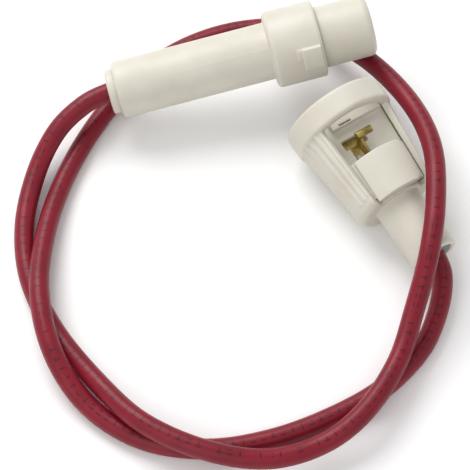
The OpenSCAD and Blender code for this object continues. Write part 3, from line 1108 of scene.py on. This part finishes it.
@dataclass
class Plug:
    """The bell-shaped plug: ribbed shell, carrier block and brass contact. Sizes in mm and degrees."""

    body_radius: float = 12.6
    rim_len: float = 6.5
    draft: float = 4.85
    shell_grain: float = 0.21
    shell_keep: float = 0.42
    block_grain: float = 0.17
    block_keep: float = 0.6
    rib_half_width: float = 0.8
    rib_step: float = 10.4
    rib_flatness: float = 0.66
    border_angle: float = 47.4
    border_length: float = 21.0
    first_long_rib: float = 54.6
    long_length: float = 21.5
    short_length: float = 14.0
    soft_passes: int = 3
    contact_edge: float = 0.07
    contact_crease: float = 40.0
    long_ribs: int = 2
    short_ribs: int = 21

    def rib_sets(self) -> list[dict[str, object]]:
        """The sizes of the border rib, the long ribs and the short ribs."""
        start = self.rim_len - 1.0
        shared = {
            "Step Angle": math.radians(self.rib_step),
            "Start": start * MM,
            "Flatness": self.rib_flatness,
        }
        border = shared | {
            "Count": 1,
            "First Angle": math.radians(self.border_angle),
            "Radius": (self.body_radius - 0.08) * MM,
            "Length": self.border_length * MM,
            "Draft": -math.radians(self.draft),
            "Half Width": 0.5 * MM,
            "End Half Width": 0.4 * MM,
        }
        long = shared | {
            "Count": self.long_ribs,
            "First Angle": math.radians(self.first_long_rib),
            "Radius": (self.body_radius - 0.05) * MM,
            "Length": self.long_length * MM,
            "Draft": -math.radians(self.draft + 0.35),
            "Half Width": self.rib_half_width * MM,
            "End Half Width": 0.7 * MM,
        }
        short = shared | {
            "Count": self.short_ribs,
            "First Angle": math.radians(self.first_long_rib + self.long_ribs * self.rib_step),
            "Radius": (self.body_radius - 0.02) * MM,
            "Length": self.short_length * MM,
            "Draft": -math.radians(self.draft + 1.1),
            "Half Width": self.rib_half_width * MM,
            "End Half Width": 0.25 * MM,
        }
        LOG.info("ribs: %d long, %d short", self.long_ribs + 1, self.short_ribs)
        return [border, long, short]

    def shell(self, node: bpy.types.Object, paint: Paint) -> bpy.types.Object:
        """Builds the shell with its ribs as one soft-edged moulding."""
        tree = RibTree()
        shape = bmesh.new()
        core = Workshop.copied("shell_core", node)
        shape.from_mesh(core.data)
        for sizes in self.rib_sets():
            ribs = tree.ribs("rib_set", sizes | {"Material": paint.material(Finish.NYLON)}, PLUG)
            shape.from_mesh(ribs.data)
            bpy.data.objects.remove(ribs)
        bpy.data.objects.remove(core)
        mesh = bpy.data.meshes.new("bell_shell")
        shape.to_mesh(mesh)
        shape.free()
        moulding = Workshop.link("bell_shell", mesh)
        return Workshop.softened(moulding, self.shell_grain, self.soft_passes, self.shell_keep)

    def block(self, node: bpy.types.Object) -> bpy.types.Object:
        """Builds the carrier with its panel, deck and ledge."""
        moulding = Workshop.copied("carrier_block", node)
        return Workshop.softened(moulding, self.block_grain, self.soft_passes, self.block_keep)

    def contact(self, node: bpy.types.Object) -> bpy.types.Object:
        """Builds the brass strip, with its edges broken."""
        piece = Workshop.copied("curled_contact", node)
        edge = piece.modifiers.new("edge", "BEVEL")
        edge.width = self.contact_edge * MM
        edge.segments = 2
        edge.limit_method = "ANGLE"
        edge.angle_limit = math.radians(self.contact_crease)
        return Workshop.baked(piece)

    def build(self, nodes: dict[str, bpy.types.Object], paint: Paint) -> None:
        """Builds and dresses the plug's own pieces."""
        body = "lead_and_shells"
        paint.clad(self.shell(nodes["plug_shell"], paint), Finish.NYLON, body, "plug_shell", "nylon")
        paint.clad(self.block(nodes["contact_carrier"]), Finish.NYLON, body, "contact_carrier", "nylon")
        paint.clad(self.contact(nodes["plug_contact"]), Finish.BRASS, body, "plug_contact", "brass")


@dataclass
class Studio:
    """The floor, the soft lights and the camera."""

    target: tuple[float, float, float] = (-0.0106, -0.0215, 0.0)
    elevation: float = 61.0
    distance: float = 0.52
    frame_width: float = 0.1175
    sensor: float = 36.0
    reach: float = 3.0
    daylight: float = 0.66

    def camera(self) -> None:
        """Sets the camera above and in front of the object."""
        lift = math.radians(self.elevation)
        aim = Vector(self.target)
        eye = aim + self.distance * Vector((0.0, -math.cos(lift), math.sin(lift)))
        lens = bpy.data.cameras.new("camera")
        lens.sensor_width = self.sensor
        lens.lens = self.sensor * self.distance / self.frame_width
        lens.clip_start = 0.01
        made = bpy.data.objects.new("camera", lens)
        made.location = eye
        made.rotation_euler = (math.pi / 2 - lift, 0.0, 0.0)
        bpy.context.scene.collection.objects.link(made)
        bpy.context.scene.camera = made

    def light(self, name: str, at: tuple[float, float, float], size: float, power: float) -> None:
        """Adds one soft area light aimed at the object."""
        lamp = bpy.data.lights.new(name, "AREA")
        lamp.shape = "DISK"
        lamp.size = size
        lamp.energy = power
        made = bpy.data.objects.new(name, lamp)
        made.location = Vector(at)
        made.rotation_euler = (Vector(self.target) - Vector(at)).to_track_quat("-Z", "Y").to_euler()
        bpy.context.scene.collection.objects.link(made)

    def floor(self) -> None:
        """Lays a plain pale floor."""
        mesh = bpy.data.meshes.new("floor")
        reach = self.reach
        mesh.from_pydata(
            [(-reach, -reach, 0), (reach, -reach, 0), (reach, reach, 0), (-reach, reach, 0)],
            [],
            [(0, 1, 2, 3)],
        )
        floor = bpy.data.objects.new("floor", mesh)
        bpy.context.scene.collection.objects.link(floor)
        graph = Graph("pale_floor")
        graph.feed(Base_Color=(0.93, 0.93, 0.93, 1.0), Roughness=0.9, Specular_IOR_Level=0.1)
        mesh.materials.append(graph.material)

    def build(self) -> None:
        """Builds the lights, the world and the floor."""
        scene = bpy.context.scene
        scene.view_settings.view_transform = "Standard"
        world = bpy.data.worlds.new("world")
        world.use_nodes = True
        sky = world.node_tree.nodes["Background"]
        sky.inputs[0].default_value = (1.0, 1.0, 1.0, 1.0)
        sky.inputs[1].default_value = self.daylight
        scene.world = world
        self.light("key", (-0.28, 0.42, 0.6), 0.55, 4.6)
        self.light("fill", (-0.2, -0.5, 0.45), 0.7, 1.3)
        self.floor()


def main() -> None:
    """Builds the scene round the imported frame."""
    logging.basicConfig(level=logging.INFO, format="%(name)s: %(message)s")
    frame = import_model()
    studio = Studio()
    studio.camera()
    paint = Paint()
    lead = Lead()
    lead.declare(lead.build(), paint)
    slots = {row["node"]: row["material_slot"] for row in frame["record"]["subparts"]}
    finishes = {
        "nylon": Finish.NYLON,
        "brass": Finish.BRASS,
        "steel": Finish.STEEL,
        "conductor": Finish.CONDUCTOR,
        "ceramic": Finish.CERAMIC,
        "seal_rubber": Finish.RUBBER,
        "lead_silicone": Finish.SILICONE,
    }
    for name, node in frame["nodes"].items():
        paint.dress(node, finishes[slots[name]])
    Holder().build(paint)
    Plug().build(frame["nodes"], paint)
    studio.build()


if __name__ == "__main__":
    main()
